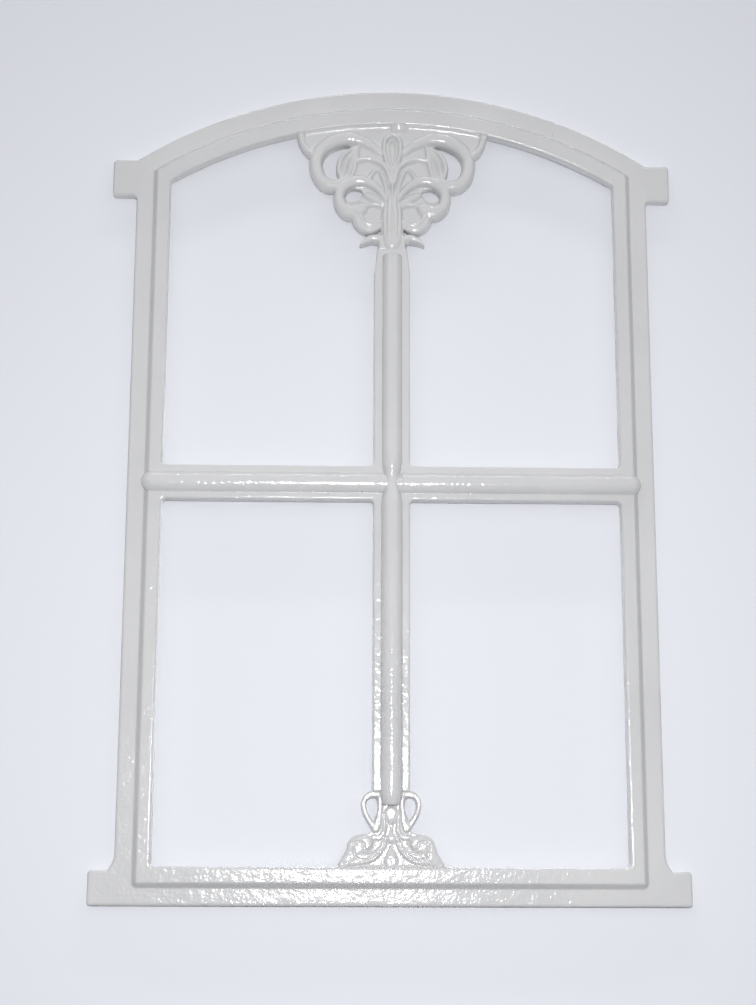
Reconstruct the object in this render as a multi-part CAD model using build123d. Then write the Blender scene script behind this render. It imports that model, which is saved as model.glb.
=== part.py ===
from build123d import *
import os
from math import acos, atan2, cos, degrees, radians, sin, sqrt

# Cast iron barn window with an arched head, in millimetres.
# X runs to the right, Z up, and the front faces -Y.
# The back face lies in Y = 0, and the origin is at the middle of its bottom edge.

# Frame
frame_width = 457.0
frame_height = 722.0
arch_rise = 69.0
stile_width = 30.0
rail_height = 31.0
arch_width = 34.0
flange_depth = 9.0
frame_depth = 15.0
stile_flange = 15.0
rail_flange = 14.5
arch_flange = 16.5
step_slope = 4.2
edge_radius = 2.5
step_radius = 1.8
step_foot_radius = 1.5
opening_edge_radius = 1.8
opening_corner_radius = 4.0
moulding_corner_radius = 5.0
opening_draft = 3.0
parting_inset = 7.0

# Glazing rebate behind every pane
rebate_width = 7.0
rebate_depth = 5.0

# Fixing lugs
lug_reach = 21.5
top_lug_height = 34.0
bottom_lug_height = 28.5
lug_corner_radius = 3.0
top_lug_root_radius = 4.0
bottom_lug_flare_width = 5.5
bottom_lug_flare_height = 15.0

# Glazing bars
transom_centre_height = 356.0
transom_height = 29.5
mullion_width = 31.0
mullion_neck_width = 26.0
mullion_neck_taper = 21.0
bead_width = 17.5
bead_relief = 5.0
bead_overhang = 2.0

# Half-round column on the mullion
column_foot_radius = 8.0
column_foot_round = 3.0
column_lower_radius = 9.0
column_waist_radius = 6.2
column_upper_radius = 8.4
waist_half_length = 22.0
column_foot_drop = 11.0
column_top_clearance = 3.0

# Ornament at the head, measured down from the crown of the opening and out from the axis
crest_height = 119.0
plate_depth = 5.0
scroll_offset = 45.5
scroll_drop = 36.0
scroll_radius = 24.0
scroll_width = 10.0
scroll_relief = 6.5
scroll_end_angle = -100.0
hook_spread = 12.5
hook_width = 6.5
hook_root_angle = 15.0
shoulder_angle = 30.0
leaf_edge_radius = 20.0
leaf_edge_inset = 15.0
leaf_edge_fall = 5.0
leaf_tip_angle = 92.0
leaf_foot_angle = -41.0
leaf_inner_bulge = 6.0
leaf_relief = 4.5
leaf_draft = 20.0
vein_width = 1.3
vein_depth = 1.2
volute_offset = 31.5
volute_drop = 70.0
volute_radius = 16.4
volute_width = 9.6
volute_relief = 6.5
volute_end_angle = -118.0
eye_radius = 6.7
eye_offset = 3.0
eye_rise = 3.2
teardrop_offset = 18.6
teardrop_drop = 86.4
teardrop_radius = 9.3
teardrop_open_angle = 100.0
lobe_offset = 21.5
lobe_drop = 93.0
lobe_radius = 9.0
lobe_start_angle = 10.0
lobe_arc = 160.0
fine_width = 4.4
fine_relief = 4.5
stem_width = 5.0
stem_clearance = 0.5
stem_bow_offset = 14.1
stem_bow_rise = 11.7
stem_reach = 31.2
stem_root_fall = 3.0
stem_loop_offset = 14.0
stem_loop_radius = 4.0
stem_loop_splay = 22.0
trunk_radius = 9.8
trunk_waist_radius = 8.5
trunk_overlap = 4.0
flute_width = 1.4
flute_depth = 0.9
flute_spacing = 3.0
bud_drop = 17.5
bud_radius = 9.6
bud_length = 38.0
bud_relief = 6.0
bud_draft = 15.0
slot_radius = 3.3
slot_margin = 4.0
ear_reach = 28.4
ear_height = 10.5
ear_depth = 5.0
ear_fall = 1.5
ear_upper_bow = 1.6
ear_lower_bow = 2.4

# Ornament at the foot, measured up from the bottom rail and out from the axis
foot_rise = 62.0
loop_offset = 17.0
loop_rise = 53.0
loop_hole_radius = 6.2
loop_band = 2.1
loop_relief = 2.0
loop_draft = 8.0
foot_waist_width = 34.0
foot_waist_rise = 30.0
foot_scroll_offset = 26.5
foot_scroll_rise = 16.3
foot_scroll_radius = 10.9
foot_flare_width = 89.0
foot_flare_bow = 1.5
foot_rib_width = 3.2
foot_rib_relief = 2.6
foot_scroll_tightening = 0.7
foot_scroll_end_arc = 150.0
foot_drop_radius = 6.8
foot_drop_length = 18.5
foot_stem_curl = 3.0
stud_width = 8.4
stud_height = 8.0
stud_relief = 1.6

# Sizes that follow from those above
half_frame = frame_width / 2
half_opening = half_frame - stile_width
springing_height = frame_height - arch_rise
arch_radius = (half_frame**2 + arch_rise**2) / (2 * arch_rise)
arch_centre = frame_height - arch_radius
opening_radius = arch_radius - arch_width
opening_springing = arch_centre + sqrt(opening_radius**2 - half_opening**2)
crown = frame_height - arch_width
transom_bottom = transom_centre_height - transom_height / 2
transom_top = transom_centre_height + transom_height / 2
mullion_foot_height = rail_height + foot_rise
mullion_neck_height = crown - crest_height
trunk_bottom = mullion_neck_height - trunk_overlap
column_foot_height = mullion_foot_height - column_foot_drop
column_top_height = trunk_bottom - column_top_clearance
plate_front = rebate_depth + plate_depth
rib_width = mullion_width - 2 * rebate_width
moulding_side = half_frame - stile_flange
scroll_centre = (scroll_offset, crown - scroll_drop)
volute_centre = (volute_offset, crown - volute_drop)
leaf_edge_centre = (scroll_offset - leaf_edge_inset, crown - scroll_drop - leaf_edge_fall)
teardrop_centre = (teardrop_offset, crown - teardrop_drop)
lobe_centre = (lobe_offset, crown - lobe_drop)
bud_centre = (0, crown - bud_drop)
bud_point = (0, crown - bud_drop - bud_length + bud_radius)
loop_centre = (loop_offset, rail_height + loop_rise)
foot_scroll_centre = (foot_scroll_offset, rail_height + foot_scroll_rise)
far = frame_width + frame_height
touch = 0.01


def front(depth):
    """The plane at this depth in front of the back face, seen from the front."""
    return Plane(origin=(0, -depth, 0), x_dir=(1, 0, 0), z_dir=(0, -1, 0))


def slab(sketch, low, high, taper=0.0):
    """A sketch drawn in X and Z, as solid from one depth to another."""
    return extrude(front(low) * sketch, high - low, taper=taper)


def block(x_low, x_high, z_low, z_high):
    """A rectangle between two corners."""
    return Pos((x_low + x_high) / 2, (z_low + z_high) / 2) * Rectangle(x_high - x_low, z_high - z_low)


def polygon(*points):
    return make_face(Polyline(*points, close=True).edges())


def shifted(point, right, up):
    return (point[0] + right, point[1] + up)


def polar(centre, radius, angle):
    """The point of a circle at an angle in degrees."""
    return (centre[0] + radius * cos(radians(angle)), centre[1] + radius * sin(radians(angle)))


def bowed(start, end, bulge):
    """An arc between two points that bows to the left of the way by this much."""
    along = (end[0] - start[0], end[1] - start[1])
    length = sqrt(along[0] ** 2 + along[1] ** 2)
    middle = (
        (start[0] + end[0]) / 2 - along[1] / length * bulge,
        (start[1] + end[1]) / 2 + along[0] / length * bulge,
    )
    return ThreePointArc(start, middle, end)


def lens(start, end, left_bulge, right_bulge):
    """The shape between two arcs that share their ends."""
    return make_face((bowed(start, end, left_bulge) + bowed(end, start, right_bulge)).edges())


def drop_outline(centre, radius, point):
    """A circle drawn out to a point."""
    reach = sqrt((point[0] - centre[0]) ** 2 + (point[1] - centre[1]) ** 2)
    heading = degrees(atan2(point[1] - centre[1], point[0] - centre[0]))
    spread = degrees(acos(radius / reach))
    tail = polygon(
        centre, polar(centre, radius, heading - spread), point, polar(centre, radius, heading + spread)
    )
    return Pos(*centre) * Circle(radius) + tail


def both_sides(sketch):
    return sketch + mirror(sketch, Plane.YZ)


def mirrored(solid):
    return mirror(solid, Plane.YZ)


def largest(shape):
    """The main solid that is left after a cut."""
    return max(shape.solids(), key=lambda solid: solid.volume)


def before(solid, depth):
    """The part of a solid that stands in front of this depth."""
    return solid & Pos(0, -depth - far / 2, 0) * Box(far, far, 4 * far)


def swept(path, section, base):
    """A section carried along a path that is drawn in X and Z at this depth."""
    line = front(base) * path
    along = line % 0
    across = Vector(0, -1, 0).cross(along)
    return sweep(Plane(origin=line @ 0, x_dir=across, z_dir=along) * section, path=line)


def dome(width, relief):
    """A round-topped section; it has upright sides where it stands higher than half its width."""
    side = width / 2
    shoulder = max(relief - side, 0)
    top = ThreePointArc((side, shoulder), (0, relief), (-side, shoulder))
    if shoulder == 0:
        return make_face((top + Line((-side, 0), (side, 0))).edges())
    return make_face((top + Polyline((-side, shoulder), (-side, 0), (side, 0), (side, shoulder))).edges())


def rounded(path, width, relief, base=plate_front):
    """A round-topped rib along a path."""
    return swept(path, dome(width, relief), base)


def band(path, width, low, high):
    """A flat strip along a path."""
    return swept(path, Pos(0, (high - low) / 2) * Rectangle(width, high - low), low)


def window_outline(half_width, bottom, radius):
    """Straight sides with a head struck from the arch's centre."""
    spring = arch_centre + sqrt(radius**2 - half_width**2)
    sides = Polyline((half_width, spring), (half_width, bottom), (-half_width, bottom), (-half_width, spring))
    head = ThreePointArc((-half_width, spring), (0, arch_centre + radius), (half_width, spring))
    return make_face((sides + head).edges())


def mullion_outline():
    """The bar's front, with sides that draw in to the neck."""
    taper_start = mullion_neck_height - mullion_neck_taper
    half_width = mullion_width / 2
    half_neck = mullion_neck_width / 2
    return polygon(
        (-half_width, mullion_foot_height),
        (half_width, mullion_foot_height),
        (half_width, taper_start),
        (half_neck, mullion_neck_height),
        (-half_neck, mullion_neck_height),
        (-half_width, taper_start),
    )


def flange_outline():
    """The outer edge with its four lugs; the lower pair flares into the stiles."""
    outline = window_outline(half_frame, 0, arch_radius)
    reach = half_frame + lug_reach
    outline += block(-reach, reach, 0, bottom_lug_height)
    outline += block(-reach, reach, springing_height - top_lug_height, springing_height)
    tips = [v for v in outline.vertices() if abs(v.X) > reach - touch]
    outline = fillet(tips, lug_corner_radius)
    roots = [
        v
        for v in outline.vertices()
        if abs(abs(v.X) - half_frame) < touch and abs(v.Y - springing_height + top_lug_height) < touch
    ]
    outline = fillet(roots, top_lug_root_radius)
    flare_top = (half_frame, bottom_lug_height + bottom_lug_flare_height)
    flare_tip = (half_frame + bottom_lug_flare_width, bottom_lug_height)
    flare = TangentArc(flare_top, flare_tip, tangent=(0, -1))
    corner = Polyline(flare_tip, (half_frame, bottom_lug_height), flare_top)
    return outline + both_sides(make_face((flare + corner).edges()))


def opening_outline():
    """The four panes as seen from the front, joined only where the ornaments stand."""
    opening = window_outline(half_opening, rail_height, opening_radius)
    opening -= block(-half_opening, half_opening, transom_bottom, transom_top)
    opening -= mullion_outline()
    ends = (mullion_foot_height, mullion_neck_height, mullion_neck_height - mullion_neck_taper)
    corners = [
        v
        for v in opening.vertices()
        if abs(v.X) > mullion_width / 2 + touch or min(abs(v.Y - end) for end in ends) > touch
    ]
    return fillet(corners, opening_corner_radius)


def is_lip(edge):
    """True on the front edges of the panes, false on the outer edge of the moulding."""
    centre = edge.center()
    from_arch_centre = sqrt(centre.X**2 + (centre.Z - arch_centre) ** 2)
    return (
        abs(centre.X) <= half_opening + touch
        and centre.Z >= rail_height - touch
        and from_arch_centre <= opening_radius + touch
    )


def casting():
    """The flange, the raised moulding and the bars, with the panes and rebates cut out."""
    body = slab(flange_outline(), 0, flange_depth)
    body = fillet([e for e in body.edges() if abs(e.center().Y + flange_depth) < touch], edge_radius)

    crest = window_outline(moulding_side, rail_flange, arch_radius - arch_flange)
    crest = fillet(crest.vertices(), moulding_corner_radius)
    slope = degrees(atan2(step_slope, frame_depth - flange_depth))
    raised = slab(crest, flange_depth, frame_depth, taper=slope)
    raised = fillet([e for e in raised.edges() if abs(e.center().Y + frame_depth) < touch], step_radius)
    body = body + raised
    flange_edges = [e for e in body.edges() if abs(e.center().Y + flange_depth) < touch]
    body = fillet([e for e in flange_edges if is_step_foot(e)], step_foot_radius)

    body = body - extrude(front(frame_depth) * opening_outline(), -frame_depth, taper=opening_draft)
    lips = [e for e in body.edges() if abs(e.center().Y + frame_depth) < touch and is_lip(e)]
    body = fillet(lips, opening_edge_radius)

    rebate = window_outline(
        half_opening + rebate_width, rail_height - rebate_width, opening_radius + rebate_width
    )
    rebate -= block(-half_frame, half_frame, transom_bottom + rebate_width, transom_top - rebate_width)
    rebate -= block(-rib_width / 2, rib_width / 2, 0, frame_height)
    return body - slab(rebate, 0, rebate_depth)


def is_step_foot(edge):
    """True where the moulding's slope meets the flange."""
    centre = edge.center()
    reach = sqrt(centre.X**2 + (centre.Z - arch_centre) ** 2)
    inside_sides = abs(centre.X) <= moulding_side + touch
    inside_arch = reach <= arch_radius - arch_flange + touch
    return inside_sides and inside_arch and centre.Z >= rail_flange - touch


def region(x_low, x_high, z_low, z_high):
    """All that lies behind or before a rectangle drawn in X and Z."""
    return slab(block(x_low, x_high, z_low, z_high), -far, far)


def members(body):
    """The casting, parted across the stiles and where the bars meet the frame."""
    inner_x = half_opening - parting_inset
    low_z = rail_height + parting_inset
    high_z = opening_springing - parting_inset
    lug_side = region(-far, -half_frame, -far, far)
    lower_half = region(-far, far, -far, transom_centre_height)
    left_lugs = body & lug_side
    right_lugs = body & mirrored(lug_side)
    frame = body - lug_side - mirrored(lug_side)
    left = region(-half_frame, -inner_x, low_z, high_z)
    head = region(-half_frame, half_frame, high_z, far)
    foot = region(-half_frame, half_frame, 0, low_z)
    cross_x = mullion_width / 2 + parting_inset
    cross_low = transom_bottom - parting_inset
    cross_high = transom_top + parting_inset
    left_bar = region(-inner_x, -cross_x, cross_low, cross_high)
    crossing = region(-cross_x, cross_x, cross_low, cross_high)
    upper_bar = region(-cross_x, cross_x, cross_high, mullion_neck_height + touch)
    lower_bar = region(-cross_x, cross_x, mullion_foot_height - touch, cross_low)
    return {
        "arch_head": frame & head,
        "left_stile": frame & left,
        "right_stile": frame & mirrored(left),
        "bottom_rail": frame & foot,
        "left_transom": frame & left_bar,
        "right_transom": frame & mirrored(left_bar),
        "crossing": frame & crossing,
        "upper_mullion": frame & upper_bar,
        "lower_mullion": frame & lower_bar,
        "upper_left_lug": left_lugs - lower_half,
        "lower_left_lug": left_lugs & lower_half,
        "upper_right_lug": right_lugs - lower_half,
        "lower_right_lug": right_lugs & lower_half,
    }


def turned(side, base):
    """A half-round body about an upright axis; its side is drawn from the axis and back to it."""
    axis = Axis((0, -base, 0), (0, 0, 1))
    return before(revolve(front(base) * make_face(side.edges()), axis=axis, revolution_arc=360), base)


def column():
    """The half-round column, drawn in where it passes the transom."""
    foot = column_foot_height
    swell = foot + 2 * column_foot_radius
    low = transom_centre_height - waist_half_length
    high = transom_centre_height + waist_half_length
    flat = column_foot_radius - column_foot_round
    side = (
        Line((0, foot), (flat, foot))
        + Spline(
            (flat, foot),
            (column_foot_radius, foot + column_foot_round),
            (column_lower_radius, swell),
            tangents=((1, 0), (0, 1)),
        )
        + Line((column_lower_radius, swell), (column_lower_radius, low))
        + Spline(
            (column_lower_radius, low),
            (column_waist_radius, transom_centre_height),
            (column_upper_radius, high),
            tangents=((0, 1), (0, 1)),
        )
        + Line((column_upper_radius, high), (column_upper_radius, column_top_height))
        + Line((column_upper_radius, column_top_height), (0, column_top_height))
        + Line((0, column_top_height), (0, foot))
    )
    return turned(side, frame_depth)


def bead():
    """The left transom's half-round bead, with a rounded end that drops to the stile's flange."""
    end = (-moulding_side - bead_overhang + bead_width / 2, transom_centre_height)
    bar = rounded(Line(end, (0, transom_centre_height)), bead_width, bead_relief, frame_depth)
    half = dome(bead_width, bead_relief) & Pos(bead_width, 0) * Rectangle(2 * bead_width, 2 * bead_width)
    cap_plane = Plane(origin=(end[0], -frame_depth, end[1]), x_dir=(1, 0, 0), z_dir=(0, 0, -1))
    cap = revolve(cap_plane * half, axis=Axis(cap_plane.origin, (0, -1, 0)), revolution_arc=360)
    skirt = slab(Pos(*end) * Circle(bead_width / 2), flange_depth, frame_depth)
    return bar + cap + skirt


def hook_path():
    start = polar(scroll_centre, scroll_radius, hook_root_angle)
    reach = scroll_offset + scroll_radius + hook_spread
    return Spline(
        start,
        (reach - hook_width / 2, scroll_centre[1] + scroll_radius / 2 + hook_width / 2),
        (reach, crown),
        tangents=((0.9, 0.3), (0, 1)),
    )


def teardrop_path():
    ring = CenterArc(teardrop_centre, teardrop_radius, -teardrop_open_angle, 2 * teardrop_open_angle)
    top = ring @ 1
    bottom = ring @ 0
    upper = TangentArc(
        (top.X, top.Y), (trunk_waist_radius - stem_width / 2, teardrop_centre[1] + teardrop_radius / 2),
        tangent=ring % 1,
    )
    lower = TangentArc(
        (bottom.X, bottom.Y),
        (trunk_waist_radius - stem_width / 2, teardrop_centre[1] - teardrop_radius / 2),
        tangent=(ring % 0) * -1,
    )
    return Wire([lower, ring, upper])


def lobe_path():
    return CenterArc(lobe_centre, lobe_radius, lobe_start_angle, -lobe_arc)


def head_plate():
    """The flat web behind the head ornament, pierced by the crescents and the eyes."""
    scroll_disc = Pos(*scroll_centre) * Circle(scroll_radius + scroll_width / 2)
    volute_disc = Pos(*volute_centre) * Circle(volute_radius + volute_width / 2)
    teardrop_disc = Pos(*teardrop_centre) * Circle(teardrop_radius + fine_width / 2)
    lobe_disc = Pos(*lobe_centre) * Circle(lobe_radius + fine_width / 2)
    shoulder = polygon(
        (0, scroll_centre[1]),
        polar(scroll_centre, scroll_radius, 0),
        polar(scroll_centre, scroll_radius + hook_spread, shoulder_angle),
        (scroll_offset + scroll_radius + hook_spread, crown),
        (0, crown + rebate_width),
    )
    centre = block(0, trunk_radius, mullion_neck_height, scroll_centre[1])
    outline = both_sides(scroll_disc + volute_disc + teardrop_disc + lobe_disc + shoulder + centre)
    crescent = Pos(*scroll_centre) * Circle(scroll_radius - scroll_width / 2)
    crescent -= Pos(*leaf_edge_centre) * Circle(leaf_edge_radius)
    eye = drop_outline(
        shifted(volute_centre, eye_offset, eye_rise),
        eye_radius,
        shifted(volute_centre, -volute_radius / 2, eye_radius),
    )
    outline -= both_sides(crescent + eye)
    web = slab(outline, rebate_depth, plate_front)
    right_hook = band(hook_path(), hook_width, rebate_depth, plate_front)
    rib = slab(
        block(-rib_width / 2, rib_width / 2, mullion_neck_height, crown + rebate_width), 0, rebate_depth
    )
    return web + right_hook + mirrored(right_hook) + rib


def inward_curl(centre, radius, end_angle, foot):
    """A path from the foot over the top of a ring and round it to the end angle."""
    ring = CenterArc(centre, radius, end_angle, 90 - end_angle)
    sweep_in = TangentArc(shifted(centre, 0, radius), foot, tangent=(-1, 0))
    return Wire([ring, sweep_in])


def scroll():
    """The large scroll at the right of the head, with the hook that ties it to the arch."""
    foot = (bud_radius + hook_width / 2, scroll_centre[1] + scroll_radius / 2)
    curl = inward_curl(scroll_centre, scroll_radius, scroll_end_angle, foot)
    return rounded(curl, scroll_width, scroll_relief) + rounded(hook_path(), hook_width, fine_relief)


def volute():
    """The smaller scroll below, from the fan at the trunk round the eye."""
    curl = inward_curl(
        volute_centre, volute_radius, volute_end_angle, (trunk_waist_radius / 2, volute_centre[1])
    )
    return rounded(curl, volute_width, volute_relief)


def leaf():
    """The feathered leaf inside the large scroll, with veins sunk in its face."""
    tip = polar(leaf_edge_centre, leaf_edge_radius, leaf_tip_angle)
    foot = polar(leaf_edge_centre, leaf_edge_radius, leaf_foot_angle)
    outer = ThreePointArc(foot, polar(leaf_edge_centre, leaf_edge_radius, 25), tip)
    inner = bowed(tip, foot, -leaf_inner_bulge)
    blade = slab(
        make_face((outer + inner).edges()), plate_front, plate_front + leaf_relief, taper=leaf_draft
    )
    for bulge in (-leaf_inner_bulge / 3, leaf_inner_bulge / 3, leaf_inner_bulge):
        vein = lens(tip, foot, bulge + vein_width / 2, vein_width / 2 - bulge)
        blade = blade - slab(vein, plate_front + leaf_relief - vein_depth, plate_front + 2 * leaf_relief)
    return blade


def stem():
    """The stem that springs from the fan and bows over to the leaf."""
    return rounded(
        Spline(
            shifted(bud_point, stem_width / 2 + stem_clearance, -stem_root_fall),
            shifted(bud_point, stem_bow_offset, stem_bow_rise),
            shifted(bud_point, stem_reach, stem_bow_rise),
            tangents=((0.2, 1), (1, -0.35)),
        ),
        stem_width,
        fine_relief,
    )


def stem_loop():
    """The small loop between the stem and the volute."""
    centre = shifted(bud_point, stem_loop_offset, 0)
    rise = polar(centre, stem_loop_radius, 180 - stem_loop_splay)
    fall = polar(centre, stem_loop_radius, stem_loop_splay)
    path = Wire(
        [
            Line(shifted(bud_point, stem_width / 2, -trunk_radius - 2 * stem_loop_radius), rise),
            CenterArc(centre, stem_loop_radius, 180 - stem_loop_splay, 2 * stem_loop_splay - 180),
            Line(fall, shifted(fall, stem_loop_radius, -trunk_radius)),
        ]
    )
    return rounded(path, fine_width, fine_relief)


def bud():
    """The bud on the axis, with its sunk slot."""
    boss = slab(
        drop_outline(bud_centre, bud_radius, bud_point), plate_front, plate_front + bud_relief, taper=bud_draft
    )
    slot = drop_outline(bud_centre, slot_radius, shifted(bud_point, 0, slot_margin))
    return boss - slab(slot, plate_front + bud_relief / 2, plate_front + 2 * bud_relief)


def trunk():
    """The fluted trunk under the fan, swelling to a bulb over the column."""
    top = volute_centre[1] + trunk_radius
    bulb_height = trunk_bottom + trunk_radius
    side = CenterArc((0, bulb_height), trunk_radius, -90, 90) + Spline(
        (trunk_radius, bulb_height),
        (trunk_waist_radius, (trunk_bottom + top) / 2),
        (0, top),
        tangents=((0, 1), (-1, 1)),
    )
    stalk = turned(side + Line((0, top), (0, trunk_bottom)), plate_front)
    half_length = (top - trunk_bottom) / 2 - trunk_radius
    for index in (-2, -1, 0, 1, 2):
        x = index * flute_spacing
        crest = sqrt(trunk_waist_radius**2 - x**2)
        flute = Pos(x, (trunk_bottom + top) / 2) * Rot(0, 0, 90) * SlotOverall(2 * half_length, flute_width)
        stalk = stalk - slab(flute, plate_front + crest - flute_depth, plate_front + 2 * trunk_radius)
    return stalk


def ear():
    """The small leaf that turns out over the mullion's neck."""
    tip = (ear_reach, trunk_bottom + trunk_radius - ear_fall)
    top = shifted(tip, -ear_reach / 3, ear_height)
    upper_root = (trunk_waist_radius, top[1])
    lower_root = (trunk_waist_radius, tip[1])
    edge = bowed(tip, top, -ear_upper_bow) + Polyline(top, upper_root, lower_root)
    edge += bowed(lower_root, tip, ear_lower_bow)
    return slab(make_face(edge.edges()), plate_front, plate_front + ear_depth)


def foot_plate():
    """The flat web of the foot ornament: two loops over a waist and a flared base."""
    waist_height = rail_height + foot_waist_rise
    disc = Pos(*foot_scroll_centre) * Circle(foot_scroll_radius)
    side = polar(foot_scroll_centre, foot_scroll_radius, 0)
    corner = (foot_flare_width / 2, rail_height - edge_radius)
    flare = make_face(
        (
            bowed(side, corner, foot_flare_bow)
            + Polyline(
                corner,
                (0, rail_height - edge_radius),
                (0, waist_height),
                (foot_waist_width / 2, waist_height),
                foot_scroll_centre,
                side,
            )
        ).edges()
    )
    centre = block(0, loop_offset - loop_hole_radius, waist_height, mullion_foot_height)
    outline = both_sides(disc + flare + centre + loop_outline()) - both_sides(loop_hole())
    web = slab(outline, rebate_depth, plate_front)
    return web + slab(block(-rib_width / 2, rib_width / 2, 0, mullion_foot_height), 0, rebate_depth)


def loop_point():
    return (foot_waist_width / 2 - loop_band, rail_height + foot_waist_rise + loop_band)


def loop_outline():
    return drop_outline(loop_centre, loop_hole_radius + loop_band, loop_point())


def loop_hole():
    return drop_outline(loop_centre, loop_hole_radius, shifted(loop_point(), 0, 2 * loop_band))


def foot_loop():
    """The raised rim of the loop beside the column's foot."""
    return slab(loop_outline() - loop_hole(), plate_front, plate_front + loop_relief, taper=loop_draft)


def foot_scroll():
    """The rib that leaves the axis of the foot and winds in round the scroll's eye."""
    outer = foot_scroll_radius - foot_rib_width / 2
    middle = foot_scroll_tightening * outer
    inner = foot_scroll_tightening**2 * outer
    bottom = shifted(foot_scroll_centre, 0, -outer)
    top = shifted(foot_scroll_centre, 0, outer)
    low = shifted(top, 0, -2 * middle)
    start = (foot_rib_width, rail_height + foot_drop_length + foot_rib_width)
    lead = TangentArc(bottom, start, tangent=(-1, 0))
    path = Wire(
        [
            lead,
            CenterArc(foot_scroll_centre, outer, -90, 180),
            CenterArc(shifted(top, 0, -middle), middle, 90, 180),
            CenterArc(shifted(low, 0, inner), inner, -90, foot_scroll_end_arc),
        ]
    )
    return rounded(path, foot_rib_width, foot_rib_relief)


def foot_stem():
    """The rib that runs down inside the loop and curls out under it."""
    waist_height = rail_height + foot_waist_rise
    side = loop_offset - loop_hole_radius - foot_rib_width / 2
    return rounded(
        Spline(
            (side, loop_centre[1]),
            (side - foot_rib_width / 6, waist_height + foot_scroll_radius),
            (side - foot_rib_width / 3, waist_height),
            (side + foot_stem_curl, waist_height - foot_stem_curl),
            (side + 2 * foot_stem_curl, waist_height + foot_rib_width / 6),
        ),
        foot_rib_width,
        foot_rib_relief,
    )


def foot_drop():
    """The teardrop on the axis of the foot."""
    centre = (0, rail_height + foot_drop_radius + touch)
    outline = drop_outline(centre, foot_drop_radius, (0, rail_height + foot_drop_length))
    return slab(outline, plate_front, plate_front + foot_rib_relief, taper=leaf_draft)


def stud(height):
    """A lozenge on the axis of the foot."""
    outline = polygon(
        (0, height - stud_height / 2),
        (stud_width / 2, height),
        (0, height + stud_height / 2),
        (-stud_width / 2, height),
    )
    return slab(outline, plate_front, plate_front + stud_relief, taper=leaf_draft)


def build():
    body = casting()
    nodes = members(body)
    post = column()
    above_transom = region(-far, far, transom_centre_height, far)
    nodes["upper_column"] = post & above_transom
    nodes["lower_column"] = post - above_transom
    left_bead = bead() - post - body
    nodes["left_transom_bead"] = left_bead
    nodes["right_transom_bead"] = mirrored(left_bead)

    nodes["head_plate"] = head_plate() - body
    stalk = trunk() - body - post
    nodes["trunk"] = stalk
    centre_bud = bud() - body
    nodes["bud"] = centre_bud
    right_teardrop = largest(rounded(teardrop_path(), fine_width, fine_relief) - stalk)
    right_volute = largest(volute() - stalk - right_teardrop)
    right_scroll = largest(scroll() - body - centre_bud - right_volute)
    right_leaf = leaf() - right_scroll - right_volute
    right_stem = stem() - stalk - centre_bud - right_leaf - right_volute
    right_stem_loop = stem_loop() - stalk - right_volute - right_stem
    right_lobe = largest(rounded(lobe_path(), fine_width, fine_relief) - right_volute - stalk - right_teardrop)
    right_ear = ear() - stalk - right_teardrop - right_lobe
    right_foot_loop = foot_loop() - body - post
    right_foot_stem = foot_stem() - right_foot_loop - post
    lower_stud = stud(rail_height + foot_drop_length + stud_height / 2 + stud_relief)
    right_foot_scroll = foot_scroll() - body - lower_stud - right_foot_stem
    for name, solid in (
        ("volute", right_volute),
        ("scroll", right_scroll),
        ("leaf", right_leaf),
        ("stem", right_stem),
        ("stem_loop", right_stem_loop),
        ("teardrop", right_teardrop),
        ("lobe", right_lobe),
        ("ear", right_ear),
        ("foot_loop", right_foot_loop),
        ("foot_stem", right_foot_stem),
        ("foot_scroll", right_foot_scroll),
    ):
        nodes["right_" + name] = solid
        nodes["left_" + name] = mirrored(solid)
    nodes["foot_plate"] = foot_plate() - body
    nodes["foot_drop"] = foot_drop() - body - right_foot_scroll - mirrored(right_foot_scroll)
    nodes["foot_stud"] = lower_stud
    return nodes


os.makedirs("parts", exist_ok=True)
for name, solid in build().items():
    export_step(solid, "parts/" + name + ".step")
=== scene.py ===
import bmesh
import bpy
import numpy as np
from mathutils import Matrix, Vector


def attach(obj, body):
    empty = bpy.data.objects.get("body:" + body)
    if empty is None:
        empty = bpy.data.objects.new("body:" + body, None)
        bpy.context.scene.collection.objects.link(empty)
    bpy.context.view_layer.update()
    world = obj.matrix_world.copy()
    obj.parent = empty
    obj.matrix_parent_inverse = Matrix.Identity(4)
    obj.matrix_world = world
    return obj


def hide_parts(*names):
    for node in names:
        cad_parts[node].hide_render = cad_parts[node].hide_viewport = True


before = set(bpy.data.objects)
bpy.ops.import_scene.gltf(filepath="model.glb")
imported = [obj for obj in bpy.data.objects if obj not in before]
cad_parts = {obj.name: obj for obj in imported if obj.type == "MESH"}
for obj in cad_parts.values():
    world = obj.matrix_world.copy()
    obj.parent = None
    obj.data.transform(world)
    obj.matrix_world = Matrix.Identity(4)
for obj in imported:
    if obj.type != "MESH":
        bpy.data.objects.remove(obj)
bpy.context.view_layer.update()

# Camera, from the straight edges of the frame. Metres and radians, image size in pixels.
IMAGE_WIDTH = 756
FOCAL_PIXELS = 1735
CAMERA_PLACE = Vector((-0.0476, -1.473, 0.026))
CAMERA_PITCH = -0.21112
CAMERA_YAW = -0.02446
CAMERA_ROLL = 0.00335
SENSOR_WIDTH = 36.0

# The board that the window lies against
BOARD_GAP = 0.0006
BOARD_SIZE = 6.0
BOARD_COLOUR = (0.78, 0.79, 0.84, 1)

# Paint: radius of its soft edges, in metres, and colour of its small pits
SOFT_EDGE = 0.0016
PIT_COLOUR = (0.13, 0.12, 0.115, 1)

# Joining of the members: metres and radians
WELD = 1e-7
SHARP_ANGLE = 0.12

# Run of paint beside the column's waist
DRIP_PLACE = Vector((0.0079, -0.0172, 0.3590))
DRIP_SIZE = Vector((0.0023, 0.0030, 0.0034))

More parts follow.
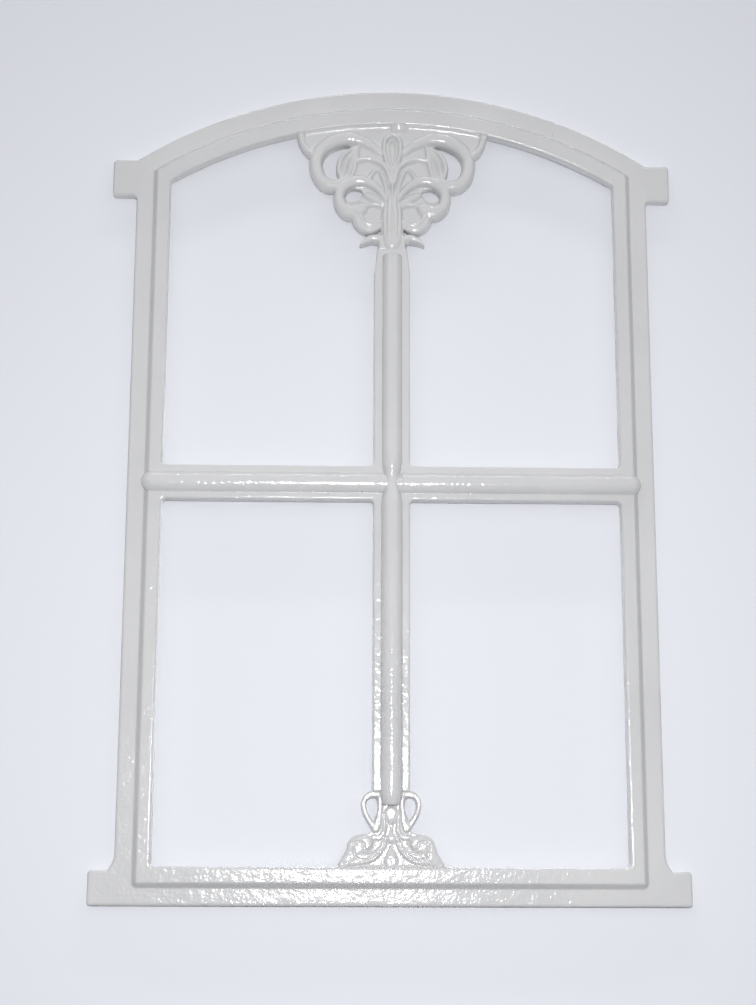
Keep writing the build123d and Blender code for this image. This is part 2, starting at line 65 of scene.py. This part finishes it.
# Lights: each one's place, what it looks at, its size in metres and its power in watts
WINDOW_MIDDLE = Vector((0, 0, 0.36))
WINDOW_FOOT = Vector((0, 0, 0))
KEY = (Vector((-0.03, -1.47, 0.13)), WINDOW_FOOT, 0.05, 16.5)
UPPER_LEFT = (Vector((-1.6, -2.2, 1.9)), WINDOW_MIDDLE, 1.8, 9.0)
UPPER_RIGHT = (Vector((1.8, -2.0, 1.5)), WINDOW_MIDDLE, 1.8, 8.0)
OVERHEAD = (Vector((0, -0.42, 2.3)), WINDOW_MIDDLE, 1.6, 9.0)
OVERHEAD_DEPTH = 0.06
FROM_BEHIND = (Vector((0.3, 2.6, 0.7)), WINDOW_MIDDLE, 1.0, 42.0)
AIR_COLOUR = (0.9, 0.92, 1.0, 1)
AIR_STRENGTH = 0.16

# Ornament, in millimetres: depths of the web's two faces from the frame's back, step of the mesh's grid, and
# depth of the first row of the walls round it
WEB_BACK = 5.05
WEB_FRONT = 10.0
MESH_STEP = 0.6
RIM_DEPTH = 0.7
# Length of a rib's blend into the next one, and how far relief and web run into the arch and the rail
BLEND = 1.0
ORNAMENT_LAP = 1.5
WEB_LAP = 4.0
# Squareness of a rib's section
ROUND = 2.4
FLAT_TOPPED = 6.0

# Ribs of the head ornament's right half, each a row of (x, height, half width, relief above the web)
HEAD_RIBS = (
    # large scroll and its hook
    ((10.5, 661, 3.2, 4.2), (20, 668.5, 4.6, 5.6), (32, 673.6, 5.8, 6.6), (43, 674.4, 6.6, 7),
     (54.3, 670.7, 6.6, 7), (63.6, 663.4, 6.3, 7), (68.3, 653.3, 6.2, 7), (68.0, 643.7, 6.2, 7),
     (64.1, 634.8, 6.1, 7), (57.2, 629.8, 6, 6.8), (49.5, 630.2, 5.4, 6.4), (42.5, 634.5, 4.2, 5.4)),
    ((68.5, 657.5, 4.0, 6), (72.5, 659.3, 3.8, 5.2), (77, 663.5, 3.5, 4.8), (80.5, 669.5, 3.3, 4.6),
     (82.2, 676, 3.5, 4.6), (83, 683, 4, 4.6)),
    # leaf, four feathers
    ((30, 667, 1.2, 4.6), (38.5, 663, 2.2, 4.8), (45.5, 655.5, 2.5, 5), (48, 645.5, 2.5, 5),
     (46.3, 637, 2.2, 5)),
    ((30, 666.5, 1.2, 4.6), (36, 659.5, 2, 4.8), (40.8, 652, 2.2, 5), (43.2, 644, 2.2, 5),
     (44.3, 636, 2, 5)),
    ((30, 666, 1.2, 4.6), (33.5, 657.5, 2, 4.8), (36.8, 649.5, 2.1, 5), (38.9, 642, 2.1, 5),
     (42.3, 634.5, 2, 5)),
    ((30.3, 665, 1.2, 4.4), (31.8, 657, 1.9, 4.6), (33.4, 648, 2.1, 4.8), (35.3, 640.5, 2.1, 4.8),
     (40.3, 633.5, 2, 5)),
    # smaller scroll round the eye's hole
    ((3.0, 613.5, 2.6, 5.4), (8, 620.5, 3.2, 5.8), (14, 627.3, 4.0, 6.4), (22, 632.6, 4.8, 7),
     (31, 633.9, 5.4, 7), (39.3, 631.3, 5.4, 7), (45.6, 625.4, 5.3, 7), (47.5, 617.5, 5.3, 7),
     (45.3, 609.6, 5.8, 7), (39.6, 605.2, 6.8, 7), (32.5, 605.2, 7.4, 6.6), (28, 607.5, 6.2, 5.6)),
    # blade between the eye and the trunk
    ((24.4, 620.6, 2.4, 4.6), (18.5, 618.4, 4.2, 4.8), (11.5, 614, 3.6, 5), (4, 609.5, 2.4, 5.4)),
    # teardrop and the lobe under it
    ((6.5, 607.5, 1.8, 4.5), (11.5, 610.2, 2.0, 4.6), (17.5, 611.2, 2.1, 4.8), (24, 609.3, 2.2, 5),
     (28, 603.5, 2.4, 5), (27.2, 597, 2.4, 5), (22.5, 593, 2.4, 5), (16.5, 592.8, 2.2, 4.8),
     (11.5, 594.8, 1.9, 4.6), (8, 596.5, 1.8, 4.4)),
    ((33, 600, 3.6, 5.2), (30.4, 594, 3.9, 5), (26.4, 589.8, 4.1, 4.8), (21, 588.2, 4.2, 4.6),
     (15.5, 589.4, 3.6, 4.4), (11.5, 592, 2.8, 4)),
    # bowed stem, and the loop between it and the scroll
    ((2.0, 632, 2.2, 5.6), (4.0, 642, 2.6, 5.6), (7.8, 648.8, 2.8, 5.6), (14.1, 652.9, 2.9, 5.6),
     (22.5, 654.8, 2.9, 5.2), (31, 653.2, 2.7, 4.8)),
    ((3.4, 620, 2.4, 5.8), (6.4, 631, 2.3, 5.4), (9.4, 639.5, 2.2, 5.2), (12.2, 644.0, 2.2, 5.2),
     (15.2, 644.2, 2.2, 5.2), (17.8, 641, 2.2, 5.2), (20.4, 636.5, 2.4, 5.4), (23, 632, 2.6, 5.8)),
    # bud and its tongue
    ((0, 643, 1.8, 5), (4.2, 650, 2.1, 5.4), (6.9, 659, 2.4, 5.8), (7.3, 667.5, 2.5, 6),
     (5.4, 674.5, 2.6, 6), (-1.5, 678.4, 2.7, 6)),
    ((0, 646, 0.9, 4), (2.2, 655, 1.2, 4.6), (3.6, 664, 1.3, 4.8), (2.9, 670.5, 1.4, 4.8),
     (-0.8, 673.4, 1.4, 4.8)),
    # trunk and the spine above it
    ((0, 574.5, 8.8, 8), (0, 585, 10.2, 9), (0, 598, 10.2, 9), (0, 608, 8.6, 8.4), (0, 616, 6.4, 7.4)),
    ((0, 606, 3, 7.5), (0, 620, 2.6, 7), (0, 634, 2.2, 6), (0, 643, 1.6, 5)),
    # ear
    ((10.5, 578.6, 4.2, 5.4), (14.8, 579.8, 4.0, 5.4), (19.3, 579.4, 3.6, 5.2), (23.8, 577, 2.6, 4.9),
     (26.8, 574.8, 1.4, 4.4), (28.3, 573.4, 0.6, 3.8)),
)
HEAD_PARTS = ("volute", "scroll", "leaf", "stem", "stem_loop", "teardrop", "lobe", "ear")
HEAD_NODES = ["head_plate", "bud", "trunk"]
HEAD_NODES += [side + part for part in HEAD_PARTS for side in ("left_", "right_")]

# Web behind the head's ribs: discs as (x, height, radius), outlines as (x, height), and the holes cut in it
WEB_DISCS = ((45.5, 651, 25), (31.5, 618, 18), (18.6, 601.8, 10), (22, 595.2, 8.5))
HEAD_MIDDLE = ((-9, 598), (26, 598), (33, 632), (33, 660), (-9, 660))
HEAD_SHOULDER = ((-9, 650), (46, 650), (72, 659), (78, 664.5), (81.5, 671), (82.5, 700), (-9, 700))
NECK_LOW = 568.5
NECK_HEIGHTS = (569, 576, 583, 585)
NECK_HALF_WIDTHS = (12.9, 12.5, 11.5, 9.5)
ARCH_CENTRE = 309.15
ARCH_INNER_RADIUS = 378.85
CRESCENT_OUTSIDE = (45.5, 650.6, 18.6)
CRESCENT_INSIDE = (30.5, 647, 19)
EYE = (
    (42.6, 620.5), (38.5, 625.6), (32.5, 627), (27.6, 625.6), (26.6, 622.4), (28.6, 617.4), (33, 614.6),
    (39.8, 615.2),
)

# Relief of the head besides its ribs: flat neck, lump of paint, trunk's flutes, fillet along the arch
NECK_TOP = 585
NECK_RELIEF = 4.9
NECK_FACE_HEIGHTS = (564, 569, 576, 584)
NECK_FACE_HALF_WIDTHS = (13.2, 12.9, 12.4, 11.0)
NECK_SIDE_SLOPE = 1.8
NECK_TOP_SLOPE = 3.0
LUMP = (6, 685.5)
LUMP_REACH = (8, 5)
LUMP_RELIEF = 4.5
TRUNK_LOW = 576
TRUNK_TOP = 642
TRUNK_HEIGHTS = (577, 600, 625, 642)
TRUNK_HALF_WIDTHS = (9.0, 9.4, 6.6, 4.0)
FLUTE_LOW_FADE = 8
FLUTE_TOP_FADE = 20
FLUTE_WAVES = 5
FLUTE_DEPTH = 1.2
ARCH_FILLET_RELIEF = 3.0
ARCH_FILLET_REACH = 1.2

# Ribs of the foot ornament's right half
FOOT_RIBS = (
    # rim of the loop
    ((11.5, 91.2, 2.9, 3.2), (17.0, 91.0, 2.7, 3.2), (21.5, 87.7, 2.4, 3.2), (23.0, 82.5, 2.2, 3.2),
     (21.9, 76.5, 2.2, 3.2), (18.5, 70.2, 2.3, 3.2), (15.2, 65.5, 2.6, 3.2)),
    # inner stem and the curl under the loop
    ((9.8, 91, 1.9, 3), (9.0, 83, 2.1, 3), (9.8, 74, 2.4, 3.2), (11.2, 67, 3.0, 3.4),
     (12.9, 62.8, 3.1, 3.4)),
    ((6.3, 75, 1.2, 2.4), (5.5, 67, 1.5, 2.6), (6.2, 60, 1.9, 2.8), (9.8, 55.8, 2.2, 2.8),
     (15, 55.6, 2.2, 2.8)),
    # upper and lower half of the scroll, whose spiral is the sunk line below
    ((40, 34.2, 3.4, 3.2), (34, 40.5, 5.2, 3.8), (30, 46.5, 6.8, 4.2), (25, 49.5, 7.6, 4.2),
     (22, 50.0, 7.2, 4.2)),
    ((4.4, 55, 1.8, 3), (7.6, 47.8, 2.3, 3.2), (13.4, 41.4, 3.2, 3.6), (20.5, 38.6, 4.2, 3.8),
     (28, 38.2, 5.2, 3.8), (36, 36.5, 4.6, 3.5)),
    # drop, lozenge and keystone on the axis
    ((0, 48.6, 0.9, 1.6), (0, 43, 3.0, 2.4), (0, 37.4, 5.4, 3.0), (0, 36.2, 5.6, 3.0)),
    ((0, 51.5, 0.8, 1.6), (0, 54.8, 3.0, 2.4), (0, 59.6, 1.2, 1.8), (0, 66, 1.0, 1.6)),
    ((0, 67, 0.8, 1.6), (0, 71, 3.6, 2.2), (0, 76, 5.4, 2.4)),
)
FOOT_PARTS = ("foot_loop", "foot_stem", "foot_scroll")
FOOT_NODES = ["foot_plate", "foot_drop", "foot_stud"]
FOOT_NODES += [side + part for part in FOOT_PARTS for side in ("left_", "right_")]
# Sunk line of the scroll: a row as a rib's, with its depth in the place of the relief
SPIRAL = (
    (14.7, 53, 0.9, 1.5), (15.4, 48.7, 1.0, 1.6), (19.1, 45.1, 1.0, 1.7), (22, 46.5, 0.9, 1.6),
    (22.8, 50.9, 0.9, 1.7), (27.2, 52.6, 0.9, 1.7), (30.8, 49.4, 0.9, 1.7), (30.4, 42.2, 0.9, 1.7),
    (27.1, 38.3, 0.9, 1.7), (20.5, 37.9, 0.9, 1.7), (13.2, 42.3, 0.9, 1.6), (7.3, 48.8, 0.8, 1.2),
    (5.1, 53.1, 0.6, 0.8),
)

# Relief of the foot besides its ribs: where it starts, fillet along the rail, and heel under the mullion's end
FOOT_LOW = 29.7
RAIL_TOP = 31
RAIL_FILLET_RELIEF = 2.5
RAIL_FILLET_REACH = 0.9
HEEL_TOP = 93.5
HEEL_HALF_WIDTH = 15.5
HEEL_RELIEF = 4.5
HEEL_REACH = 1.6
HEEL_SIDE_SLOPE = 1.5

# Web behind the foot's ribs, and the hole in its loop
FOOT_OUTLINE = (
    (-6, 97), (12, 97), (16, 93.9), (21.2, 91.2), (24.5, 86.3), (25.0, 81.5), (22.9, 74.7), (18.2, 68),
    (16.4, 64.2), (17.6, 59.6), (24.3, 58.5), (31.2, 56.8), (35.9, 51.7), (37.1, 45.5), (38.0, 39.8),
    (42.3, 35.8), (44.6, 25), (-6, 25),
)
LOOP_HOLE = (
    (13.4, 88.4), (17.4, 88.6), (20.4, 86.2), (21.0, 82), (19.8, 76.6), (16.6, 71), (14.6, 68.6),
    (13.2, 72.4), (11.2, 79.1), (11.6, 85.6),
)


def smooth_path(points, step=0.8):
    """Catmull-Rom curve through the points, with every column carried along."""
    p = np.array(points, float)
    p = np.vstack([2 * p[0] - p[1], p, 2 * p[-1] - p[-2]])
    runs = []
    for a, b, c, d in zip(p, p[1:], p[2:], p[3:]):
        count = max(2, int(np.hypot(*(c - b)[:2]) / step))
        t = np.linspace(0, 1, count, endpoint=False)[:, None]
        square = 2 * a - 5 * b + 4 * c - d
        cube = 3 * b - a - 3 * c + d
        runs.append(0.5 * (2 * b + (c - a) * t + square * t**2 + cube * t**3))
    return np.vstack(runs + [p[-2:-1]])


def rib_field(points, x, z, squareness):
    """Distance outside a rib's edge, and its relief, at each place."""
    path = smooth_path(points)
    edge = np.full(x.shape, np.inf)
    width = np.ones(x.shape)
    relief = np.zeros(x.shape)
    for a, b in zip(path, path[1:]):
        d = b - a
        t = np.clip(((x - a[0]) * d[0] + (z - a[1]) * d[1]) / (d[0] ** 2 + d[1] ** 2), 0, 1)
        here = np.hypot(x - a[0] - t * d[0], z - a[1] - t * d[1]) - a[2] - t * d[2]
        closer = here < edge
        edge[closer] = here[closer]
        width[closer] = (a[2] + t * d[2])[closer]
        relief[closer] = (a[3] + t * d[3])[closer]
    return edge, relief * np.sqrt(1 - np.clip(1 + edge / width, 0, 1) ** squareness)


def smooth_max(a, b):
    """The larger of two values, with a rounded change from one to the other."""
    h = np.clip(0.5 + 0.5 * (a - b) / BLEND, 0, 1)
    return b + (a - b) * h + BLEND * h * (1 - h)


def circle_distance(x, z, centre_x, centre_z, radius):
    """Signed distance to a circle, negative inside."""
    return np.hypot(x - centre_x, z - centre_z) - radius


def outline_distance(x, z, points):
    """Signed distance to a closed outline, negative inside."""
    nearest = np.full(x.shape, np.inf)
    inside = np.zeros(x.shape, bool)
    for (ax, az), (bx, bz) in zip(points, np.roll(points, -1, axis=0)):
        t = np.clip(((x - ax) * (bx - ax) + (z - az) * (bz - az)) / ((bx - ax) ** 2 + (bz - az) ** 2), 0, 1)
        nearest = np.minimum(nearest, np.hypot(x - ax - t * (bx - ax), z - az - t * (bz - az)))
        if az != bz:
            inside ^= ((az > z) != (bz > z)) & (x < (bx - ax) * (z - az) / (bz - az) + ax)
    return np.where(inside, -nearest, nearest)


def rounded_outline(points):
    """Closed curve through the points."""
    return smooth_path(tuple(points) + (points[0],), 1.0)[:-1]


def head_web(x, z):
    """Signed distance to the head ornament's web, with its crescents and eyes cut out."""
    neck = np.maximum(x - np.interp(z, NECK_HEIGHTS, NECK_HALF_WIDTHS), NECK_LOW - z)
    outlines = [outline_distance(x, z, points) for points in (HEAD_MIDDLE, HEAD_SHOULDER)]
    web = np.minimum.reduce([circle_distance(x, z, *disc) for disc in WEB_DISCS] + [neck] + outlines)
    outside = circle_distance(x, z, *CRESCENT_OUTSIDE)
    crescent = np.maximum(outside, -circle_distance(x, z, *CRESCENT_INSIDE))
    eye = outline_distance(x, z, rounded_outline(EYE))
    return np.maximum(web, -np.minimum(crescent, eye))


def relief_mesh(name, ribs, squareness, web, limits, clip, detail):
    """A web with ribs on its front: a fine grid with its border drawn onto the outline, closed at the back.

    The grid spans limits = (half width, lowest height, highest height).
    """
    x_reach, z_low, z_high = limits
    columns = np.arange(-x_reach, x_reach + MESH_STEP / 2, MESH_STEP)
    rows = np.arange(z_low, z_high, MESH_STEP)
    x, z = np.meshgrid(columns, rows)

    def fields(x, z):
        distance = web(np.abs(x), z)
        relief = np.zeros(x.shape)
        for points in ribs:
            edge, height = rib_field(points, np.abs(x), z, squareness)
            distance = np.minimum(distance, edge)
            relief = smooth_max(relief, height)
        distance = np.maximum(distance, clip(x, z))
        return distance, detail(x, z, relief)

    distance, relief = fields(x, z)
    middle = (distance[:-1, :-1] + distance[1:, :-1] + distance[:-1, 1:] + distance[1:, 1:]) / 4
    kept = middle < 0
    uses = np.zeros(x.shape, int)
    for down in (0, 1):
        for right in (0, 1):
            uses[down:uses.shape[0] - 1 + down, right:uses.shape[1] - 1 + right] += kept
    border = (uses > 0) & (uses < 4)
    slope_z, slope_x = np.gradient(distance, MESH_STEP)
    steepness = np.maximum(slope_x**2 + slope_z**2, 0.3)
    x = np.where(border, x - np.clip(distance * slope_x / steepness, -MESH_STEP, MESH_STEP), x)
    z = np.where(border, z - np.clip(distance * slope_z / steepness, -MESH_STEP, MESH_STEP), z)
    relief[border] = fields(x[border], z[border])[1]

    used = uses > 0
    number = np.full(x.shape, -1)
    number[used] = np.arange(used.sum())
    count = int(used.sum())
    front = np.stack([x[used], -WEB_FRONT - relief[used], z[used]], 1)
    back = np.stack([x[used], np.full(count, -WEB_BACK), z[used]], 1)
    corners = np.stack([number[:-1, :-1], number[:-1, 1:], number[1:, 1:], number[1:, :-1]], 2)[kept]
    edges = np.concatenate([corners[:, [i, (i + 1) % 4]] for i in range(4)])
    key = edges[:, 0] * count + edges[:, 1]
    opposite = edges[:, 1] * count + edges[:, 0]
    rim = edges[~np.isin(key, opposite)]
    rim_points = np.unique(rim)
    rim_number = np.full(count, -1)
    rim_number[rim_points] = np.arange(len(rim_points)) + 2 * count
    shoulder = front[rim_points] + (0, RIM_DEPTH, 0)
    start, end = rim[:, 0], rim[:, 1]
    walls = np.concatenate(
        [
            np.stack([end, start, rim_number[start], rim_number[end]], 1),
            np.stack([rim_number[end], rim_number[start], start + count, end + count], 1),
        ]
    )
    faces = np.concatenate([corners, corners[:, ::-1] + count, walls])
    mesh = bpy.data.meshes.new(name)
    mesh.from_pydata((np.concatenate([front, back, shoulder]) / 1000).tolist(), [], faces.tolist())
    mesh.polygons.foreach_set("use_smooth", np.ones(len(faces), bool))
    pairs = np.empty(len(mesh.edges) * 2, int)
    mesh.edges.foreach_get("vertices", pairs)
    pairs = pairs.reshape(-1, 2)
    on_back_rim = np.isin(pairs, rim_points + count).all(1)
    mesh.edges.foreach_set("use_edge_sharp", on_back_rim)
    piece = bpy.data.objects.new(name, mesh)
    bpy.context.scene.collection.objects.link(piece)
    return piece


def head_detail(x, z, relief):
    """Adds the flat neck, the lump and fillet at the arch, and cuts the trunk's flutes."""
    neck_side = np.interp(z, NECK_FACE_HEIGHTS, NECK_FACE_HALF_WIDTHS) - np.abs(x)
    neck_fade = np.clip(neck_side / NECK_SIDE_SLOPE, 0, 1) * np.clip((NECK_TOP - z) / NECK_TOP_SLOPE, 0, 1)
    neck = NECK_RELIEF * np.sqrt(neck_fade)
    lump_reach = ((x - LUMP[0]) / LUMP_REACH[0]) ** 2 + ((z - LUMP[1]) / LUMP_REACH[1]) ** 2
    lump = LUMP_RELIEF * np.sqrt(np.clip(1 - lump_reach, 0, 1))
    ends = np.clip((z - TRUNK_LOW) / FLUTE_LOW_FADE, 0, 1) * np.clip((TRUNK_TOP - z) / FLUTE_TOP_FADE, 0, 1)
    across = x / np.interp(z, TRUNK_HEIGHTS, TRUNK_HALF_WIDTHS)
    wave = 0.5 - 0.5 * np.cos(FLUTE_WAVES * np.pi * across)
    flutes = FLUTE_DEPTH * ends * wave * (np.abs(across) < 1)
    arch_side = ARCH_INNER_RADIUS - np.hypot(x, z - ARCH_CENTRE)
    fillet = ARCH_FILLET_RELIEF * np.exp(-np.clip(arch_side, 0, None) / ARCH_FILLET_REACH)
    before_arch = np.clip((arch_side + ORNAMENT_LAP) / MESH_STEP, 0, 1)
    return (smooth_max(smooth_max(relief, neck), lump) - flutes + fillet) * before_arch


def foot_detail(x, z, relief):
    """Adds the heel under the mullion's end and the rail's fillet, and cuts the scrolls' spiral line."""
    heel_side = np.clip((HEEL_HALF_WIDTH - np.abs(x)) / HEEL_SIDE_SLOPE, 0, 1)
    heel = HEEL_RELIEF * np.exp(-np.clip(HEEL_TOP - z, 0, None) / HEEL_REACH) * heel_side
    fillet = RAIL_FILLET_RELIEF * np.exp(-np.clip(z - RAIL_TOP, 0, None) / RAIL_FILLET_REACH)
    above_rail = np.clip((z - FOOT_LOW) / MESH_STEP, 0, 1)
    return (smooth_max(relief, heel) + fillet - rib_field(SPIRAL, np.abs(x), z, ROUND)[1]) * above_rail


def arch_clip(x, z):
    """Signed distance past the line where the head's web ends inside the arch."""
    return np.hypot(x, z - ARCH_CENTRE) - ARCH_INNER_RADIUS - WEB_LAP


def foot_clip(x, z):
    """Signed distance past the line where the foot's web ends inside the rail."""
    return FOOT_LOW + ORNAMENT_LAP - WEB_LAP - z


def foot_web(x, z):
    """Signed distance to the foot ornament's web, with its loops' holes cut out."""
    outline = outline_distance(x, z, rounded_outline(FOOT_OUTLINE))
    return np.maximum(outline, -outline_distance(x, z, rounded_outline(LOOP_HOLE)))


def welded_copy(mesh):
    """Copy of a mesh whose split vertices are one again."""
    copy = mesh.copy()
    shape = bmesh.new()
    shape.from_mesh(copy)
    bmesh.ops.remove_doubles(shape, verts=shape.verts, dist=WELD)
    shape.to_mesh(copy)
    shape.free()
    return copy


def add_casting(others):
    """Every member but the others joined into one closed skin, so that no joint shows in the paint."""
    names = [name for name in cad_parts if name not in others]
    members = []
    for name in names:
        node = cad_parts[name]
        member = bpy.data.objects.new("casting", welded_copy(node.data))
        member.matrix_world = node.matrix_world.copy()
        bpy.context.scene.collection.objects.link(member)
        members.append(member)
    casting = members.pop(0)
    for member in members:
        union = casting.modifiers.new("union", "BOOLEAN")
        union.operation = "UNION"
        union.solver = "MANIFOLD"
        union.object = member
    skin = bpy.data.meshes.new_from_object(casting.evaluated_get(bpy.context.evaluated_depsgraph_get()))
    casting.modifiers.clear()
    casting.data = skin
    for member in members:
        bpy.data.objects.remove(member)
    skin.shade_smooth()
    skin.set_sharp_from_angle(angle=SHARP_ANGLE)
    even = casting.modifiers.new("even_normals", "WEIGHTED_NORMAL")
    even.keep_sharp = True
    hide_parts(*names)
    return casting


def add_drip():
    """Run of paint in the corner between the column's waist and the right bead."""
    drop = bmesh.new()
    bmesh.ops.create_icosphere(drop, subdivisions=4, radius=1.0)
    bmesh.ops.scale(drop, vec=DRIP_SIZE, verts=drop.verts)
    bmesh.ops.translate(drop, vec=DRIP_PLACE, verts=drop.verts)
    mesh = bpy.data.meshes.new("paint_drip")
    drop.to_mesh(mesh)
    drop.free()
    mesh.polygons.foreach_set("use_smooth", np.ones(len(mesh.polygons), bool))
    piece = bpy.data.objects.new("paint_drip", mesh)
    bpy.context.scene.collection.objects.link(piece)
    return piece


def add_pieces():
    """Both ornaments, the casting and the run of paint."""
    limits = (87.5, 564.0, 693.0)
    head = relief_mesh("head_ornament", HEAD_RIBS, ROUND, head_web, limits, arch_clip, head_detail)
    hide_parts(*HEAD_NODES)
    limits = (46.0, 25.0, 95.0)
    foot = relief_mesh("foot_ornament", FOOT_RIBS, FLAT_TOPPED, foot_web, limits, foot_clip, foot_detail)
    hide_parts(*FOOT_NODES)
    return add_casting(HEAD_NODES + FOOT_NODES), head, foot, add_drip()


def new_material(name):
    """Empty material, with its nodes and links."""
    material = bpy.data.materials.new(name)
    material.use_nodes = True
    nodes = material.node_tree.nodes
    nodes.clear()
    return material, nodes, material.node_tree.links


def add_ramp(nodes, low, low_colour, high, high_colour):
    """Colour ramp with its two stops at low and high."""
    ramp = nodes.new("ShaderNodeValToRGB")
    for stop, position, colour in zip(ramp.color_ramp.elements, (low, high), (low_colour, high_colour)):
        stop.position = position
        stop.color = colour
    return ramp


def paint():
    """Thick glossy off-white paint with orange peel, small pits and a slight change of tone."""
    material, nodes, links = new_material("off_white_paint")
    out = nodes.new("ShaderNodeOutputMaterial")
    shader = nodes.new("ShaderNodeBsdfPrincipled")
    links.new(shader.outputs["BSDF"], out.inputs["Surface"])
    shader.inputs["Specular IOR Level"].default_value = 0.5
    place = nodes.new("ShaderNodeTexCoord")

    def add_noise(scale, detail):
        noise = nodes.new("ShaderNodeTexNoise")
        noise.inputs["Scale"].default_value = scale
        noise.inputs["Detail"].default_value = detail
        links.new(place.outputs["Object"], noise.inputs["Vector"])
        return noise.outputs["Fac"]

    def add_bump(height, under, strength, distance):
        bump = nodes.new("ShaderNodeBump")
        bump.inputs["Strength"].default_value = strength
        bump.inputs["Distance"].default_value = distance
        links.new(height, bump.inputs["Height"])
        links.new(under, bump.inputs["Normal"])
        return bump.outputs["Normal"]

    tone = add_ramp(nodes, 0.3, (0.60, 0.60, 0.605, 1), 0.7, (0.66, 0.66, 0.66, 1))
    links.new(add_noise(9.0, 5.0), tone.inputs["Fac"])
    pits = add_ramp(nodes, 0.815, (0, 0, 0, 1), 0.835, (1, 1, 1, 1))
    links.new(add_noise(210.0, 1.0), pits.inputs["Fac"])
    coat = nodes.new("ShaderNodeMix")
    coat.data_type = "RGBA"
    coat.inputs["B"].default_value = PIT_COLOUR
    links.new(pits.outputs["Color"], coat.inputs["Factor"])
    links.new(tone.outputs["Color"], coat.inputs["A"])
    links.new(coat.outputs["Result"], shader.inputs["Base Color"])

    gloss = nodes.new("ShaderNodeMapRange")
    gloss.inputs["To Min"].default_value = 0.07
    gloss.inputs["To Max"].default_value = 0.2
    links.new(add_noise(60.0, 3.0), gloss.inputs["Value"])
    links.new(gloss.outputs["Result"], shader.inputs["Roughness"])

    soft_edges = nodes.new("ShaderNodeBevel")
    soft_edges.samples = 6
    soft_edges.inputs["Radius"].default_value = SOFT_EDGE
    peel = add_bump(add_noise(330.0, 2.0), soft_edges.outputs["Normal"], 0.65, 0.0004)
    swell = add_bump(add_noise(90.0, 2.0), peel, 0.55, 0.001)
    links.new(swell, shader.inputs["Normal"])
    return material


def board_material():
    """Plain pale board, shown from its front only so that the window can be seen from behind."""
    material, nodes, links = new_material("board")
    out = nodes.new("ShaderNodeOutputMaterial")
    mix = nodes.new("ShaderNodeMixShader")
    matt = nodes.new("ShaderNodeBsdfDiffuse")
    matt.inputs["Color"].default_value = BOARD_COLOUR
    clear = nodes.new("ShaderNodeBsdfTransparent")
    side = nodes.new("ShaderNodeNewGeometry")
    links.new(side.outputs["Backfacing"], mix.inputs["Fac"])
    links.new(matt.outputs["BSDF"], mix.inputs[1])
    links.new(clear.outputs["BSDF"], mix.inputs[2])
    links.new(mix.outputs["Shader"], out.inputs["Surface"])
    return material


def add_board():
    """Board behind the window, which throws no shadow on the window's back."""
    half = BOARD_SIZE / 2
    y = BOARD_GAP
    corners = [(-half, y, -half), (half, y, -half), (half, y, half), (-half, y, half)]
    mesh = bpy.data.meshes.new("board")
    mesh.from_pydata(corners, [], [(0, 1, 2, 3)])
    board = bpy.data.objects.new("board", mesh)
    bpy.context.scene.collection.objects.link(board)
    board.data.materials.append(board_material())
    board.visible_shadow = False


def add_area_light(name, place, target, size, power):
    """Square white lamp at a place, turned to a target."""
    lamp = bpy.data.lights.new(name, "AREA")
    lamp.size = size
    lamp.energy = power
    light = bpy.data.objects.new(name, lamp)
    light.location = place
    light.rotation_euler = (target - place).to_track_quat("-Z", "Y").to_euler()
    bpy.context.scene.collection.objects.link(light)
    return light


def add_lights():
    """Small key by the camera, two soft lamps, a strip overhead, a lamp for the back, and the world."""
    add_area_light("key", *KEY)
    add_area_light("upper_left", *UPPER_LEFT)
    add_area_light("upper_right", *UPPER_RIGHT)
    overhead = add_area_light("overhead", *OVERHEAD)
    overhead.data.shape = "RECTANGLE"
    overhead.data.size_y = OVERHEAD_DEPTH
    from_behind = add_area_light("from_behind", *FROM_BEHIND)
    from_behind.data.cycles.max_bounces = 0
    world = bpy.data.worlds.new("world")
    world.use_nodes = True
    bpy.context.scene.world = world
    nodes = world.node_tree.nodes
    links = world.node_tree.links
    nodes.clear()
    out = nodes.new("ShaderNodeOutputWorld")
    air = nodes.new("ShaderNodeBackground")
    air.inputs["Color"].default_value = AIR_COLOUR
    air.inputs["Strength"].default_value = AIR_STRENGTH
    links.new(air.outputs["Background"], out.inputs["Surface"])


def add_camera():
    """Camera at the place, turn and focal length that the photograph's straight edges give."""
    lens = bpy.data.cameras.new("camera")
    lens.sensor_fit = "HORIZONTAL"
    lens.sensor_width = SENSOR_WIDTH
    lens.lens = SENSOR_WIDTH * FOCAL_PIXELS / IMAGE_WIDTH
    lens.clip_start = 0.05
    turn = (
        Matrix.Rotation(CAMERA_ROLL, 3, "Z")
        @ Matrix.Rotation(CAMERA_PITCH, 3, "X")
        @ Matrix.Rotation(CAMERA_YAW, 3, "Y")
    )
    right, down, ahead = (Vector((row[0], row[2], -row[1])) for row in turn)
    camera = bpy.data.objects.new("camera", lens)
    turned = Matrix((right, -down, -ahead)).transposed().to_4x4()
    camera.matrix_world = Matrix.Translation(CAMERA_PLACE) @ turned
    bpy.context.scene.collection.objects.link(camera)
    bpy.context.scene.camera = camera


white = paint()
for piece in add_pieces():
    piece.data.materials.clear()
    piece.data.materials.append(white)
    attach(piece, "root")
add_board()
add_lights()
add_camera()

scene = bpy.context.scene
scene.view_settings.view_transform = "Standard"
